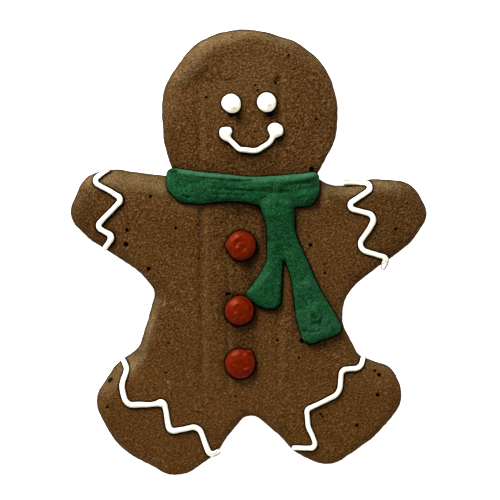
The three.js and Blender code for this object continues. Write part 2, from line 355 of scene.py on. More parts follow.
# each edge colour is painted shade on edges seen side on
icingFinishes = {
    "white_icing": {
        "stops": [(0.3, "#f2ebd2"), (0.7, "#fdf8e6")], "edge": "#cfc5a6", "edgeStart": 0.78,
        "thinColour": "#4a4434", "roughness": 0.5, "shine": 0.25, "shineColour": "#ffffff", "grain": 0.6,
        "grainDepth": 0.02, "translucence": 0.35,
    },
    "green_icing": {
        "stops": [(0.32, "#010d06"), (0.42, "#083216"), (0.55, "#144021"), (0.72, "#2b5c3f")],
        "edge": "#a0a0a0", "edgeStart": 0.6, "thinColour": "#5f9a76", "roughness": 0.6, "shine": 0.03,
        "shineColour": "#a0ffb8", "grain": 0.38, "grainDepth": 0.55, "translucence": 0,
    },
    "red_icing": {
        "stops": [(0.3, "#470900"), (0.7, "#601400")], "edge": "#a0a0a0", "edgeStart": 0.6,
        "thinColour": "#601400", "roughness": 0.4, "shine": 0.25, "shineColour": "#ff7a4a", "grain": 0.9,
        "grainDepth": 0.06, "translucence": 0,
    },
}


def driedIcing(slot):
    # Royal icing, piped or spread, and dried: a satin sugar shell of one colour, more or less grained, with
    # painted shade on edges seen side on and on the white's hanging flanks, and painted light on the green's
    # upper edge and patches. The white is a little translucent. The grain is drawn coarse enough to show.
    finish = icingFinishes[slot]
    material = newMaterial("dried_" + slot)
    place = addNode(material, "TexCoord").outputs["Object"]
    grain = addNode(
        material, "TexNoise", {"Scale": 1 / (finish["grain"] * mm), "Detail": 2, "Roughness": 0.6},
        {"Vector": place},
    ).outputs["Fac"]
    colour = addRamp(material, grain, finish["stops"])
    # painted shade: an edge seen side on is darkened towards the finish's edge colour
    facing = addNode(material, "LayerWeight", {"Blend": 0.5}).outputs["Facing"]
    edge = addRamp(material, facing, [(finish["edgeStart"], "#ffffff"), (0.95, finish["edge"])])
    colour = addNode(material, "Mix", multiplied, {6: colour, 7: edge}).outputs[2]
    # painted shade on the white's hanging flanks, painted light on the green's upper edge and patches
    thin = addNode(material, "Attribute", {"attribute_name": "thin"}).outputs["Fac"]
    thinned = {"data_type": "RGBA", 7: linear(finish["thinColour"])}
    colour = addNode(material, "Mix", thinned, {0: thin, 6: colour}).outputs[2]
    grained = {"Strength": 0.9, "Distance": finish["grainDepth"] * mm}
    bump = addNode(material, "Bump", grained, {"Height": grain})
    shader = addNode(
        material, "BsdfPrincipled",
        {
            "Roughness": finish["roughness"], "IOR": 1.5, "Specular IOR Level": finish["shine"],
            "Specular Tint": linear(finish["shineColour"]),
            "Subsurface Weight": finish["translucence"], "Subsurface Scale": mm,
            "Subsurface Radius": (1.0, 0.9, 0.7),
        },
        {"Base Color": colour, "Normal": bump.outputs["Normal"]},
    )
    addNode(material, "OutputMaterial", links={"Surface": shader.outputs["BSDF"]})
    return material


materials = {"gingerbread": bakedGingerbread(), **{slot: driedIcing(slot) for slot in icingFinishes}}


def addPiece(name, vertices, triangles, slot, node, **attributes):
    # puts a surface into a mesh object that stands for a node of the frame
    mesh = bpy.data.meshes.new(name)
    mesh.vertices.add(len(vertices))
    mesh.vertices.foreach_set("co", (vertices * mm).astype(np.float32).ravel())
    mesh.loops.add(triangles.size)
    mesh.loops.foreach_set("vertex_index", triangles.astype(np.int32).ravel())
    mesh.polygons.add(len(triangles))
    mesh.polygons.foreach_set("loop_start", np.arange(0, triangles.size, 3, dtype=np.int32))
    mesh.update(calc_edges=True)
    mesh.shade_smooth()
    for attributeName, values in attributes.items():
        attribute = mesh.attributes.new(attributeName, "FLOAT", "POINT")
        attribute.data.foreach_set("value", values.astype(np.float32))
    mesh.materials.append(materials[slot])
    piece = bpy.data.objects.new(name, mesh)
    bpy.context.scene.collection.objects.link(piece)
    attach(piece, "root")
    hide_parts(node)
    print(name, len(triangles), "triangles")


# The cookie, 127 mm from head to foot

cookie = {
    "thickness": 10,
    "leanAzimuth": 113,  # the dough slumped to the head's upper left, where its rim is wider
    "leanPower": 1.5,
    # height at which the side starts to round over, away from the lean and towards it
    "shoulder": (8.6, 4.5),
    "rimWidth": (2.4, 6.5),  # how far in from the edge the top is still rounding over, likewise
    "rimPower": 1.7,  # 2 rounds the rim as an ellipse, less leaves it flatter, more like a chamfer
    "bottomRound": 1.2,
    "edgeStep": 0.42,  # spacing of the points along the edge
    "sideReach": 1.5,  # how far in the side's rings reach, before the face begins
    "sideRings": (5, 10, 10),  # how many round its foot, up its wall and over its rim
    # spacing of the points over the face, between what distances from the icing, and seed
    "faceSteps": [(0.38, 0.6, 9, 21), (0.21, -0.2, 0.6, 23), (1.1, -9, -0.7, 24)],
    "underStep": (1.6, 22),  # spacing and seed of the points over the underside
    "faceRoom": 0.2,  # between the rings and the face's points
    "underRoom": 0.8,
    # rings of points in and round a pore: each one's radius in pore radii, and how many points it has
    "poreRings": [(0, 1), (0.35, 6), (0.7, 9), (1, 12), (1.3, 14), (1.65, 16)],
    "poreClear": 1.9,  # pore radii within which the lattice's points are left out
    "poreDepth": (1, 1.5),  # on the rim and on the face, in pore radii
    "poreDark": (1.25, 0.2),  # pore radii out to which its painted shade is full, and over which that fades
    # height, size and seed of its unevenness
    "wobble": (0.12, 3.5, 11),
    "swell": (0.16, 12, 1),
    "lumps": (0.015, 2.8, 2),
    "crumb": (0.014, 0.8, 3),
    "sideRoughness": [(0.16, 2.4, 5), (0.08, 0.9, 6)],
    "sideSlant": (2.1, -1.7),  # how far its lattice is moved for each mm up the side
    "crumbStretch": 1.8,  # how much longer than wide its crumb is
    "chin": (24, 2),  # where the head begins, and over what length
    "headCrumb": 3.5,  # how much deeper the crumb gets above the chin
    "coarseness": (1, 0.0035),  # of the crust's grain at mid height, and what each mm towards the head adds
    "sideBrowning": (0.3, 0.4),  # how much darker the side baked, and how far in over the rim
}

# Corners of its outline, clockwise from the top of the head: x, y and the radius that rounds the corner.
headCorners = [
    (-3, 65.1, 25), (13.5, 60.2, 16), (22.6, 53, 18), (26.4, 38.5, 24), (24, 30.5, 14), (19.2, 21.4, 1.4),
]
rightArmCorners = [
    (24, 18.2, 9), (36, 20.9, 14), (47, 19.9, 8), (51.5, 10.3, 5.5), (46.2, 2.5, 16), (29.2, -10.2, 12),
]
rightLegCorners = [
    (25.4, -18, 11), (31.4, -29.5, 3), (41, -33, 7), (45, -42, 9), (36.5, -52.3, 30), (22.8, -62, 9),
    (13, -56.8, 5.5), (8.6, -52, 8),
]
crotchCorners = [(0.2, -45, 4)]
leftLegCorners = [
    (-5.2, -51.5, 10), (-9.6, -57.8, 6), (-20, -65, 9), (-37, -56.2, 20), (-44.6, -42.3, 7.5),
    (-37.5, -32, 8), (-31.1, -27.2, 6), (-26.3, -11.1, 3.5),
]
leftArmCorners = [
    (-30.5, -5.8, 16), (-45, 3.5, 14), (-51.9, 10.3, 6), (-46.4, 22.1, 7), (-38.2, 23.5, 10),
    (-21, 21.3, 1.2),
]
templeCorners = [(-24.3, 32, 16), (-24.8, 46, 18), (-16.6, 58.9, 17)]
cookieCorners = [
    *headCorners, *rightArmCorners, *rightLegCorners, *crotchCorners, *leftLegCorners, *leftArmCorners,
    *templeCorners,
]

# Holes that bubbles left in the crust: x, y and radius.
pores = np.array([
    (-34.8, 2.1, 0.65), (-34.6, 6.2, 0.5), (-28.4, -4.8, 0.54), (-27.9, 15.8, 0.43), (-20.7, 6.8, 0.43),
    (-14.5, 7.8, 0.29), (-7.7, 8.4, 0.29), (-14.1, -1.9, 0.29), (18, 23.5, 0.67), (11.4, 56, 0.34),
    (-12, 44, 0.36), (2, 47.5, 0.36), (2.6, 46, 0.31), (7.7, 48.2, 0.35), (19.4, 37.8, 0.36),
    (13.1, 51.9, 0.27), (14.2, 44.3, 0.25), (-17.5, 38, 0.25), (6.3, 25.6, 0.27), (17.7, 1.9, 0.5),
    (15.3, -25.3, 0.65), (-40.2, -44.2, 0.36), (36.05, -33.9, 0.36), (37.2, -35.05, 0.52),
    (36.8, -40.7, 0.5), (20.6, -46.3, 0.36), (21.1, -47, 0.29), (30.9, -49.4, 0.43), (8.3, -25.2, 0.36),
    (14.4, -30.2, 0.36), (-4.9, 39.1, 0.7), (-39.7, -36.9, 0.38), (-39.35, -36.55, 0.45),
    (-39, -36.2, 0.38), (-5.4, -11.9, 0.38), (-6.1, -12, 0.38), (-30.9, -20.7, 0.31), (21.7, -3.5, 0.28),
    (21.9, -6, 0.36), (41.9, 6.5, 0.4), (-22.8, -26.1, 0.3), (-23.6, -34.3, 0.3), (-21.8, -40.4, 0.27),
    (-14.2, -45.6, 0.27), (-3.7, -41.2, 0.29), (-40.4, 17.4, 0.31),
])

# Creases that the rolling pin left, from one end to the other: x, y, x, y, depth and half width.
creases = [
    (-13.7, 49, -13.9, 22, 0.5, 0.9), (-13.2, 13, -13, -38, 0.62, 0.9), (-5.7, 12, -5.7, -39, 0.4, 0.6),
    (9, 50, 9, 24, 0.65, 0.9), (8.6, -18, 8.6, -38, 0.5, 0.9), (-2.8, 12, -2.9, -40, 0.15, 0.6),
    (-5.2, 48, -5, 26, 0.15, 0.7), (2.2, 48, 2.6, 27, 0.15, 0.7),
]
creaseForm = {
    "endSharpness": 40,
    # the step up on its right, as a share of its depth, and how it rises and fades, in half widths
    "stepHeight": 0.8,
    "stepRise": 0.3,
    "stepFade": 4,
    "shades": [(1.2, 0.7, 0.4), (-0.8, 0.8, -0.15)],  # painted light and painted shade beside it: where, how far, how much
}

# Broad hollows and rises in the face: x, y, angle, reach along it and across it, height.
swells = [
    (-14.4, 48.6, 38, 7, 1.8, -1), (-8.5, 46.4, 19, 6, 1.8, 0.5), (0, 48.6, 2, 5, 2, 0.35),
    (-19.5, 37, 78, 8, 2, 0.15), (8.4, 49.1, 30, 1.2, 0.7, -0.6), (-3, -10, 90, 12, 5, -0.2),
    (20, 30, 60, 8, 3, -0.3),
]

# Patches of painted light on rounded slopes that face the lamp, and flecks of paler crust: x, y, angle,
# reach along it and across it, strength.
palePatches = [
    (-27.8, -20.5, 75, 7, 1.2, 0.27), (-34.2, -34.4, 62, 4, 1.2, 0.24), (-36, -36.6, 60, 3, 1.2, 0.15),
    (20, 55, -50, 5, 2, 0.18), (-23.9, -14.7, 85, 0.8, 0.22, 0.8), (-22.8, -37.2, 0, 0.35, 0.4, 0.9),
    (-13.5, 58.6, 0, 0.3, 0.3, 1), (37.2, -37.2, 0, 0.4, 0.25, 0.8), (39.1, -40.4, 0, 0.35, 0.3, 0.7),
    (44, 11.2, 0, 0.3, 0.3, 0.9), (-24.4, -59.4, 0, 0.3, 0.3, 0.7),
]

# Painted light on the rounding that faces the lamp, and a little on the lower edges, which face away from it.
paleRim = {
    "azimuth": 108,  # the way that the edges with the most painted light face, towards the lamp
    "strength": 0.45,
    "width": (0.6, 5),  # away from that way and towards it
    "lip": (0.15, 0.7),  # its share at the very edge, and how far in it is full
    "unevenness": (0.25, 4, 7),
    "lowerAzimuth": 285,
    "lowerStrength": 0.3,
    "lowerReach": 0.9,
}

# How much wider the painted rim light is in places: x, y, how far each place reaches across and along, and a
# share.
rimStretches = [
    (4, 63, 12, 8, -0.4), (-19.5, 53, 6, 7, 0.35), (38, -33, 7, 5, -0.4), (-30, 21, 11, 6, 0.4),
    (27, 18, 6, 5, -0.25),
]

# Painted shadows round the icing, painted light on slopes, and uneven browning: where the crust is paler
# and darker, given in the same way as a share of its brightness.
brownings = [
    (0, 45, 22, 16, 0.06), (2, 47.5, 8, 6, 0.16), (-13, 43, 6.5, 6, 0.14), (-17, 54.5, 5, 4, 0.15),
    (-3.7, 46.3, 6, 2, 0.2), (-13.3, 47.6, 4, 1.6, -0.22), (-10.5, 49.7, 4, 1.3, -0.28),
    (19, 38, 6, 9, -0.12), (-21.7, 31, 3, 6, -0.18), (19, 55, 4.5, 5, 0.2), (-22, 45, 2.5, 6, 0.15),
    (-1, 24.5, 22, 2.2, -0.25), (8.2, 48.8, 1, 0.8, -0.3), (-9.8, 44, 2.2, 1.3, 0.25),
    (-16, 50, 3, 1.2, 0.12), (2, 55, 14, 4, 0.1), (23.5, 46, 2, 6, 0.15), (-22.5, 39, 2, 3.5, 0.15),
    (15, 46.5, 5, 2, -0.12), (5, 23, 5, 1, -0.3), (-26, 20.5, 2, 1.2, -0.2), (-2.7, 38.7, 1.7, 2.4, -0.6),
    (6.3, 39, 2, 2.2, -0.6), (-3.4, 38.3, 2, 1.4, -0.4), (5.8, 39.2, 2, 1.4, -0.6),
    (-6.2, 31, 1.8, 1.4, -0.55), (9.7, 32.6, 1.2, 2.8, -0.7), (0.8, 27.5, 6, 1.2, -0.65),
    (-8.7, 34, 0.8, 2, 0.5), (-1.5, 12, 7.5, 1.7, -0.45), (-2.5, 11.5, 3.5, 3, -0.25),
    (3.3, 12.5, 1.5, 2.5, -0.55), (4.3, 6, 0.8, 7, -0.6), (0.2, -4.5, 1.6, 5.5, -0.5),
    (2.7, 0.6, 0.8, 2.5, -0.6), (-4.6, -12.3, 2, 1, -0.6), (-2.3, -21.7, 2.5, 0.8, 0.4),
    (-1.5, -36.6, 3, 1, 0.7), (2.2, -16.3, 1.8, 1.2, -0.6), (-7.5, -14.5, 1.5, 4, -0.3),
    (-1.8, -8.5, 4, 4, -0.15), (5.5, -17.5, 4, 2, -0.25), (-1.3, -24.6, 4.5, 4, -0.4),
    (-46.8, 11, 5, 8, -0.25), (-47.5, 5.5, 2, 2, -0.2), (-43, 2, 3, 1.5, -0.45), (40, 8, 7, 9, -0.14),
    (39.7, 16.8, 5, 2, -0.15), (26.6, 15.5, 3, 2, -0.2), (38.5, 0.2, 4, 1.5, -0.25),
    (44.5, 3.2, 4, 2, -0.2), (41, -1.5, 2.5, 1.5, -0.3), (32, -7.3, 6, 1.6, -0.3), (-38, -47, 4, 7, -0.14),
    (23, 13, 3.5, 5, -0.12), (-22, 3, 10, 8, -0.04), (17, -37, 8, 8, 0.04), (-16, -39, 10, 6, 0.06),
    (22, -27.6, 5, 1.6, -0.26), (38, -31.3, 6, 1.5, -0.18), (37, -36.5, 5, 3, 0.15),
    (-30, 18.5, 8, 3, 0.18), (-41.5, 20.3, 5, 2, 0.18), (-36, 17.5, 3, 3, 0.12), (-16.5, 12.9, 5, 1.3, 0.8),
    (-24.6, 17, 1.6, 3, 0.35), (17, 12.2, 3.5, 1.4, 0.3), (21.5, 16, 1.1, 3.5, 0.6), (14.5, 4, 1, 5, 0.2),
    (18.5, -4.5, 1, 5, 0.25), (10.1, -8, 0.7, 6, 0.8), (12.8, -15, 0.7, 7, -0.35), (27, -18, 1.6, 4, 0.6),
    (30.5, -25.5, 2, 2.5, 0.2), (-31.5, -29.5, 3.5, 2.5, -0.28), (-32.8, -35, 1.5, 2, 0.5),
    (-41, -36.5, 2.5, 2.5, 0.2), (13.1, -26.5, 1.4, 0.7, -0.3),
]


def leaning(outX, outY, azimuth):
    # 0 to 1: how far the way out of the edge turns towards an azimuth
    azimuth = np.radians(azimuth)
    return 0.5 + 0.5 * (outX * np.cos(azimuth) + outY * np.sin(azimuth))


def rimForm(outX, outY):
    # the shoulder's height and the rim's width at an edge that faces that way
    lean = leaning(outX, outY, cookie["leanAzimuth"]) ** cookie["leanPower"]
    return between(cookie["shoulder"], lean), between(cookie["rimWidth"], lean)


def crustHeight(depth, outX, outY):
    # a quarter of a superellipse from the side's shoulder up to the flat top
    shoulder, rimWidth = rimForm(outX, outY)
    share = np.clip(1 - depth / rimWidth, 0, 1)
    power = cookie["rimPower"]
    return shoulder + (cookie["thickness"] - shoulder) * (1 - share ** power) ** (1 / power)


def crustSwell(x, y):
    # the long swells alone, which the icing follows
    return unevenness(x, y, *cookie["swell"])


def creasesAt(x, y):
    # for each crease, the place across it in half widths, and its depth, faded out beyond its ends
    for startX, startY, endX, endY, depth, halfWidth in creases:
        runX, runY = endX - startX, endY - startY
        share = ((x - startX) * runX + (y - startY) * runY) / (runX ** 2 + runY ** 2)
        offset = ((x - startX) * -runY + (y - startY) * runX) / np.hypot(runX, runY)
        beyond = np.abs(share - 0.5) - 0.5
        yield offset / halfWidth, depth / (1 + np.exp(beyond * creaseForm["endSharpness"]))


def crustRelief(x, y):
    # long swells, then lumps, then crumb drawn out along the rolling direction, hollows and rises, and the
    # creases: each a soft groove, with a step up on its right that dies away
    turn = np.radians(dough["rollingAzimuth"])
    along = (x * np.cos(turn) + y * np.sin(turn)) / cookie["crumbStretch"]
    across = y * np.cos(turn) - x * np.sin(turn)
    chin, softness = cookie["chin"]
    onHead = 1 / (1 + np.exp((chin - y) / softness))
    crumb = (1 + cookie["headCrumb"] * onHead) * unevenness(along, across, *cookie["crumb"])
    relief = crustSwell(x, y) + unevenness(x, y, *cookie["lumps"]) + crumb + markRelief(x, y, swells)
    for across, depth in creasesAt(x, y):
        fade = np.exp(-np.maximum(across, 0) / creaseForm["stepFade"])
        step = creaseForm["stepHeight"] * fade / (1 + np.exp(-across / creaseForm["stepRise"]))
        relief = relief + depth * (step - np.exp(-across ** 2))
    return relief


def crustBrowning(x, y):
    # uneven browning with painted shadows and painted light in patches, painted shade on the left and
    # painted light on the right side of each crease, and painted light on the lower edges
    shade = patchShare(x, y, brownings)
    for across, depth in creasesAt(x, y):
        for place, reach, strength in creaseForm["shades"]:
            shade = shade + depth * strength * np.exp(-((across - place) / reach) ** 2)
    depth, outX, outY = np.moveaxis(cookieField(x, y), -1, 0)
    lower = leaning(outX, outY, paleRim["lowerAzimuth"]) ** 3
    return shade + paleRim["lowerStrength"] * lower * np.exp(-(depth / paleRim["lowerReach"]) ** 2)


def rimPaleness(x, y, depth, outX, outY):
    # painted light in from the edge by the band's width, with a steep end, and strongest the way the band
    # faces, towards the lamp
    lean = leaning(outX, outY, paleRim["azimuth"])
    depth = np.maximum(depth, 0)
    width = between(paleRim["width"], lean ** 2) * (1 + patchShare(x, y, rimStretches))
    paleness = paleRim["strength"] * lean ** 4 * np.exp(-(depth / width) ** 5)
    lipShare, lipWidth = paleRim["lip"]
    paleness = paleness * np.clip(lipShare + depth / lipWidth, 0, 1)
    paleness = paleness * (1 + unevenness(x, y, *paleRim["unevenness"]))
    return np.clip(paleness + markRelief(x, y, palePatches), 0, 1)


cookieEdge, cookieHeading = roundedPath(cookieCorners[::-1], cookie["edgeStep"], closed=True)
cookieOutward = np.column_stack([np.sin(cookieHeading), -np.cos(cookieHeading)])
cookieField = edgeField(cookieEdge, cookieOutward)
print("cookie outlined")


# Icing

icing = {
    "overhang": 3.6,  # icing that runs over the edge hangs no lower than this under the top
    "softness": 0.35,  # over how much height it lets go of the crust there
    "sunk": 0.15,  # how deep the icing sits in the crust
    "belly": 0.42,  # how high it is widest, as a share of its height
    "sag": (0.6, -0.8),  # the way the painted shadow falls, away from the lamp
    "dripStain": 1.4,  # how far down the side the dark line and its painted shade reach, under icing that hangs over
    "stainReach": (1, 1.8),  # how far the fainter stain and painted shade spread, away from the painted shadow's way and towards it
    "stainBox": 4,  # how far round a piece it is worked out
}


def icingBed(x, y):
    # the crust's long swells, and a smooth blend into a level overhang past the edge
    crust = crustHeight(*np.moveaxis(cookieField(x, y), -1, 0))
    hanging = cookie["thickness"] - icing["overhang"]
    soft = icing["softness"]
    return hanging + soft * np.logaddexp(0, (crust - hanging) / soft) + crustSwell(x, y)


footprints = []  # where each piece of icing lies, and the stain and painted shade it leaves on the crust


def addFootprint(spots, outside, damp, stain):
    # outside gives the distance out from the icing, negative under it; then come the widths of its dark line,
    # painted contact shade with some moisture, away from the painted shadow's way and towards it
    low, high = spots.min(0) - icing["stainBox"], spots.max(0) + icing["stainBox"]
    footprints.append({"low": low, "high": high, "outside": outside, "damp": damp, "stain": stain})


def footprintsNear(x, y):
    # each footprint, and which of the places are in the box round it
    for footprint in footprints:
        (lowX, lowY), (highX, highY) = footprint["low"], footprint["high"]
        yield footprint, (x > lowX) & (x < highX) & (y > lowY) & (y < highY)


def besideIcing(x, y):
    # distance out from the nearest icing, negative under it, and no more than 1
    distance = np.ones(x.shape)
    for footprint, near in footprintsNear(x, y):
        distance[near] = np.minimum(distance[near], footprint["outside"](x[near], y[near]))
    return distance


def dampness(x, y):
    # painted contact shade with some moisture: full under the icing and in a thin line beside it, then a
    # fainter stain and painted shade that fade out as a bell curve, wider on the lower right, where the
    # painted shadow falls
    damp = np.zeros(x.shape)
    sagX, sagY = icing["sag"]
    nudge = 0.1
    for footprint, near in footprintsNear(x, y):
        outside, nearX, nearY = footprint["outside"], x[near], y[near]
        distance = outside(nearX, nearY)
        slopeX = (outside(nearX + nudge, nearY) - distance) / nudge
        slopeY = (outside(nearX, nearY + nudge) - distance) / nudge
        # painted shadow: the dark line and halo widen on the lower right, away from the lamp
        sagged = np.clip(0.5 + 0.5 * (sagX * slopeX + sagY * slopeY), 0, 1)
        distance = np.maximum(distance, 0)
        line = np.exp(-(distance / between(footprint["damp"], sagged)) ** 4)
        stain = footprint["stain"] * np.exp(-(distance / between(icing["stainReach"], sagged)) ** 2)
        damp[near] = np.maximum(damp[near], np.maximum(line, stain))
    return damp


bead = {
    "pathStep": 0.22,
    "sectionPoints": 30,
    "sectionPower": 0.85,  # 1 gives it an ellipse's sides, less fuller ones
    "wander": 0.09,  # how far its path strays
    "fineSwell": 0.4,  # its short swells, as a share of its long ones
    # for its path, its long swells and its short ones, a row of the lattice and a size
    "unevenness": [(0, 2.6), (3, 4.2), (7, 1.1)],
    "bendReach": 1.1,  # how far along it a bend swells it
    "heightSwell": 0.6,  # how much its height follows its width
    "tipLift": 0.25,  # height of its ends over its underside
    "greyFrom": (0.3, 0.6),  # how far in from the cookie's edge the painted shade on its flanks starts, and how gradually
    "flank": (0.5, 0.25),  # where in its half width a flank starts, and how gradually, as shares
}


def pipedLine(name, line):
    # a round bead carried along a path: its half width swells, thins and rounds off at the ends,
    # and the section's lower half tucks in under it
    path, heading = roundedPath(line["corners"], bead["pathStep"])
    steps = np.linalg.norm(np.diff(path, axis=0), axis=1)
    distance = np.concatenate([[0], np.cumsum(steps)])
    left = np.column_stack([-np.sin(heading), np.cos(heading)])
    wander, longSwell, shortSwell = (
        unevenness(distance, 0 * distance + row, 1, size, line["seed"] + k)
        for k, (row, size) in enumerate(bead["unevenness"])
    )
    path = path + left * bead["wander"] * wander[:, None]
    swell = 1 + line["swell"] * longSwell + bead["fineSwell"] * line["swell"] * shortSwell
    bend = np.abs(np.gradient(np.unwrap(heading), distance))
    nearBend = np.exp(-((distance[:, None] - distance) / bead["bendReach"]) ** 2)
    swell = swell + line["bendSwell"] * ((nearBend @ bend) / nearBend.sum(1) * 2 - 0.5)
    swell = swell + patchShare(*path.T, line.get("lumps", []))
    halfWidth = line["halfWidth"] * swell
    rise = line["height"] * (1 + bead["heightSwell"] * (swell - 1))
    taper = 1
    for end, fromEnd in (("start", distance), ("end", distance[-1] - distance)):
        blob = line.get(end, {"radius": line["halfWidth"], "squareness": 2})
        if "neck" in blob:
            share = 0.5 + 0.5 * np.cos(np.pi * np.clip((fromEnd - blob["radius"]) / blob["neck"], 0, 1))
            halfWidth = between((halfWidth, blob["radius"]), share)
            rise = between((rise, blob["height"]), share)
        within = 1 - np.clip(fromEnd / blob["radius"], 0, 1)
        taper = taper * (1 - within ** blob["squareness"]) ** (1 / blob["squareness"])

    def outside(x, y):
        away = np.hypot(x[:, None] - path[:, 0], y[:, None] - path[:, 1])
        nearest = away.argmin(1)
        return away[np.arange(len(x)), nearest] - (halfWidth * taper)[nearest]

    addFootprint(path, outside, line["damp"], line["stain"])
    turns = np.linspace(0, fullTurn, bead["sectionPoints"], endpoint=False)
    across = np.sign(np.cos(turns)) * np.abs(np.cos(turns)) ** bead["sectionPower"]
    belly = icing["belly"]
    up = np.where(np.sin(turns) > 0, belly + (1 - belly) * np.sin(turns), belly * (1 + np.sin(turns)))
    reach = (halfWidth * taper)[1:-1, None] * across
    x = path[1:-1, :1] + left[1:-1, :1] * reach
    y = path[1:-1, 1:] + left[1:-1, 1:] * reach
    lift = (rise * taper)[1:-1, None] * up * (1 + icing["sunk"]) - icing["sunk"]
    rings = np.stack([x, y, icingBed(x, y) + lift], -1)
    tips = [(*path[k], icingBed(*path[k]) - icing["sunk"] + bead["tipLift"]) for k in (0, -1)]
    vertices, triangles = closedSkin(rings, *tips)
    # painted shade greys the flanks of what hangs over the edge
    (greyFrom, greyOver), (flankFrom, flankOver) = bead["greyFrom"], bead["flank"]
    hanging = np.clip((greyFrom - cookieField(x, y)[..., 0]) / greyOver, 0, 1)
    thin = hanging * np.clip((np.abs(across) - flankFrom) / flankOver, 0, 1)
    addPiece(name, vertices, triangles, "white_icing", line["node"], thin=np.append(thin.ravel(), [0, 0]))


dropForm = {
    "footAngle": -38,  # how far its foot is tucked in under it
    "peakAngle": 89,
    "outline": (0.025, 4),  # unevenness of its outline, then of its surface
    "surface": (0.04, 1.1),
    "outlineCircle": 6,  # radius of the circle over the lattice that its outline is read along
    "markScale": 1.4,
    "damp": (0.45, 0.6),
}


def pipedDrop(name, drop):
    # rings from a tucked-in foot up to the peak: reach falls as a power of a cosine and height rises
    # as a sine; bumps and hollows are added to the height
    footTurn, peakTurn = np.radians(dropForm["footAngle"]), np.radians(dropForm["peakAngle"])
    lifts = np.linspace(footTurn, peakTurn, drop["rings"])
    turns = np.linspace(0, fullTurn, drop["around"], endpoint=False)
    reach = np.cos(lifts) ** drop["fullness"]
    share = (np.sin(lifts) - np.sin(footTurn)) / (1 - np.sin(footTurn))

    def outlineAt(turns):
        circle = dropForm["outlineCircle"] * np.cos(turns), dropForm["outlineCircle"] * np.sin(turns)
        outline = 1 + unevenness(*circle, *dropForm["outline"], drop["seed"])
        for angle, growth, halfAngle in drop["lobes"]:
            outline = outline + growth * np.exp(-(turnFrom(turns, angle) / np.radians(halfAngle)) ** 2)
        return outline

    def outside(x, y):
        x, y = x - drop["x"], y - drop["y"]
        return np.hypot(x, y) - drop["radius"] * outlineAt(np.arctan2(y, x))

    ringRadii = drop["radius"] * reach[:, None] * outlineAt(turns)
    localX, localY = ringRadii * np.cos(turns), ringRadii * np.sin(turns)
    x, y = drop["x"] + localX, drop["y"] + localY
    onDome = np.clip(share * 2, 0, 1)[:, None]
    relief = dropForm["markScale"] * markRelief(localX, localY, drop["bumps"], drop.get("arcs", ()))
    relief = relief + unevenness(x, y, *dropForm["surface"], drop["seed"] + 1)
    rise = (drop["height"] + icing["sunk"]) * share[:, None] - icing["sunk"] + relief * onDome
    rings = np.stack([x, y, icingBed(x, y) + rise], -1)
    addFootprint(rings[..., :2].reshape(-1, 2), outside, dropForm["damp"], drop["stain"])
    foot = (drop["x"], drop["y"], icingBed(drop["x"], drop["y"]) - icing["sunk"])
    vertices, triangles = closedSkin(rings, foot, rings[-1].mean(0))
    addPiece(name, vertices, triangles, drop["slot"], drop["node"])


eyeForm = {"slot": "white_icing", "fullness": 0.8, "around": 72, "rings": 26, "stain": 0.1}
buttonForm = {"slot": "red_icing", "fullness": 0.75, "around": 120, "rings": 46, "stain": 0.4}

# Lobes of a drop's outline: angle, share of its radius and half angle. Its bumps and arcs are placed from
# its middle.
drops = {
    "left_eye": {
        **eyeForm, "node": "eye_left", "x": -4.95, "y": 42.25, "radius": 2.7, "height": 2.1, "seed": 31,
        "lobes": [(315, 0.08, 32), (225, -0.04, 28), (80, 0.02, 30), (170, 0.02, 30)],
        "bumps": [(0.5, -1, 0, 0.7, 0.6, 0.6), (-0.3, 0.6, 135, 1.6, 1.2, 0.15)],
    },
    "right_eye": {
        **eyeForm, "node": "eye_right", "x": 5.25, "y": 42.55, "radius": 2.7, "height": 2.05, "seed": 33,
        "lobes": [(140, 0.02, 40)],
        "bumps": [(0.4, -0.4, 20, 0.9, 0.6, 0.5)],
    },
    "top_button": {
        **buttonForm, "node": "button_top", "x": -2.05, "y": 1.75, "radius": 4.2, "height": 3.1, "seed": 35,
        "lobes": [(176, 0.1, 14), (213, -0.04, 16)],
        "bumps": [
            (0.8, -0.75, 42, 1.1, 0.5, -0.26), (-1.05, -0.85, 20, 0.7, 0.6, 0.2),
            (-0.9, 2.3, 32, 1.5, 0.3, 0.07), (-0.55, 1.7, 35, 1.4, 0.25, -0.06),
            (-1, -3.15, 0, 0.25, 0.25, 0.2),
        ],
        "arcs": [(0.1, -0.5, 1.75, 0.5, -0.15, 105, 80), (0, -0.4, 2.6, 0.5, 0.16, 325, 70)],
    },
    "middle_button": {
        **buttonForm, "node": "button_middle", "x": -2.6, "y": -16.7, "radius": 4.2, "height": 3.1,
        "seed": 37,
        "lobes": [(135, -0.02, 25)],
        "bumps": [
            (-0.9, -1, 80, 0.45, 0.35, 0.35), (-0.65, -1.95, 60, 0.4, 0.3, 0.3),
            (0.5, -1.6, 60, 0.8, 0.5, -0.25),
        ],
        "arcs": [(0, 0, 3.3, 0.25, -0.5, 30, 48), (0, 0, 1.9, 0.5, 0.1, 120, 60)],
    },
    "bottom_button": {
        **buttonForm, "node": "button_bottom", "x": -2.35, "y": -31.9, "radius": 4.3, "height": 3,
        "seed": 39,
        "lobes": [(50, 0.14, 15), (72, -0.05, 6)],
        "bumps": [
            (2.7, 2.75, -51, 1.2, 0.2, -0.5), (3.3, 3.5, -51, 1, 0.5, 0.3), (1.9, -1.5, 25, 0.8, 0.22, 0.35),
            (-1.45, -0.5, 0, 0.22, 0.22, 0.15), (-1.2, -3.8, -10, 0.5, 0.25, 0.2),
            (0, -0.2, 0, 1.4, 1.2, -0.12),
        ],
    },
}

